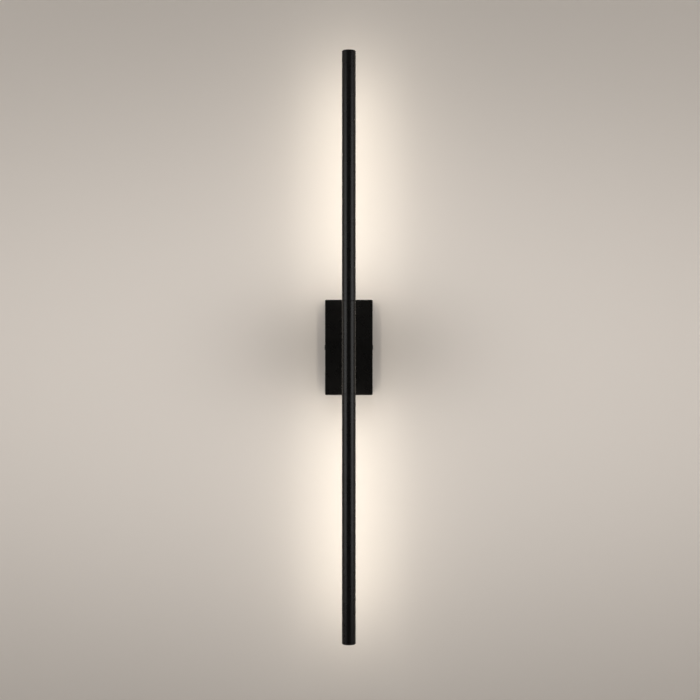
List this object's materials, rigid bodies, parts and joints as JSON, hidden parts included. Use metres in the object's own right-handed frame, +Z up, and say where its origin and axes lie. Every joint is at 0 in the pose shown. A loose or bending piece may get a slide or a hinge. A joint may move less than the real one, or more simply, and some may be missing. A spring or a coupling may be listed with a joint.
{
  "type": "tube wall light",
  "caption": "Slim upright tube wall light that washes the wall from slots in the tube's back, held by a stem in front of a small rectangular wall box.",
  "frame": {"origin": "centre of the wall plate's back, on the wall's surface", "axes": "+Z up along the tube, +Y into the wall, -Y out into the room, +X to the viewer's right"},
  "size_m": [0.051, 0.083, 0.6],
  "materials": {
    "black_paint": "satin black powder coat",
    "zinc_steel": "zinc plated",
    "black_screw": "blackened steel",
    "core_aluminium": "machined, anodised black",
    "opal_diffuser": "opal, satin",
    "board_white": "white solder mask",
    "led_phosphor": "warm white phosphor",
    "circuit_green": "green solder mask",
    "white_plastic": "moulded",
    "clear_grey_plastic": "moulded, semi gloss",
    "bush_nylon": "natural nylon",
    "black_rubber": "matte",
    "foam_tape": "foam",
    "clamp_brass": "plain",
    "ferrite": "matte",
    "capacitor_sleeve": "shrink sleeve",
    "choke_copper": "enamelled winding",
    "lead_brown": "extruded",
    "lead_blue": "extruded",
    "lead_green_yellow": "extruded",
    "lead_red_black": "extruded"
  },
  "bodies": {
    "root": {"cable_grommet": "black_rubber", "canopy_cover": "black_paint", "cover_screws": "black_screw", "driver_board": "circuit_green", "driver_capacitors": "capacitor_sleeve", "driver_case": "white_plastic", "driver_choke": "choke_copper", "driver_lid": "white_plastic", "driver_output_leads": "lead_red_black", "driver_tape": "foam_tape", "driver_transformer": "ferrite", "earth_lead": "lead_green_yellow", "earth_screw": "clamp_brass", "earth_tag": "zinc_steel", "hub_core": "core_aluminium", "hub_sleeve": "black_paint", "live_lead": "lead_brown", "lower_diffuser": "opal_diffuser", "lower_end_cap": "black_paint", "lower_led_board": "board_white", "lower_led_chips": "led_phosphor", "lower_led_leads": "lead_red_black", "lower_tube": "black_paint", "neutral_lead": "lead_blue", "splice_connectors": "clear_grey_plastic", "stem": "black_paint", "stem_bush": "bush_nylon", "stem_nut": "zinc_steel", "stem_washer": "zinc_steel", "terminal_block": "white_plastic", "terminal_block_screws": "zinc_steel", "terminal_screws": "zinc_steel", "terminal_sleeves": "clamp_brass", "tube_screws": "black_screw", "upper_diffuser": "opal_diffuser", "upper_end_cap": "black_paint", "upper_led_board": "board_white", "upper_led_chips": "led_phosphor", "upper_led_leads": "lead_red_black", "upper_tube": "black_paint", "wall_plate": "zinc_steel"}
  },
  "joints": []
}
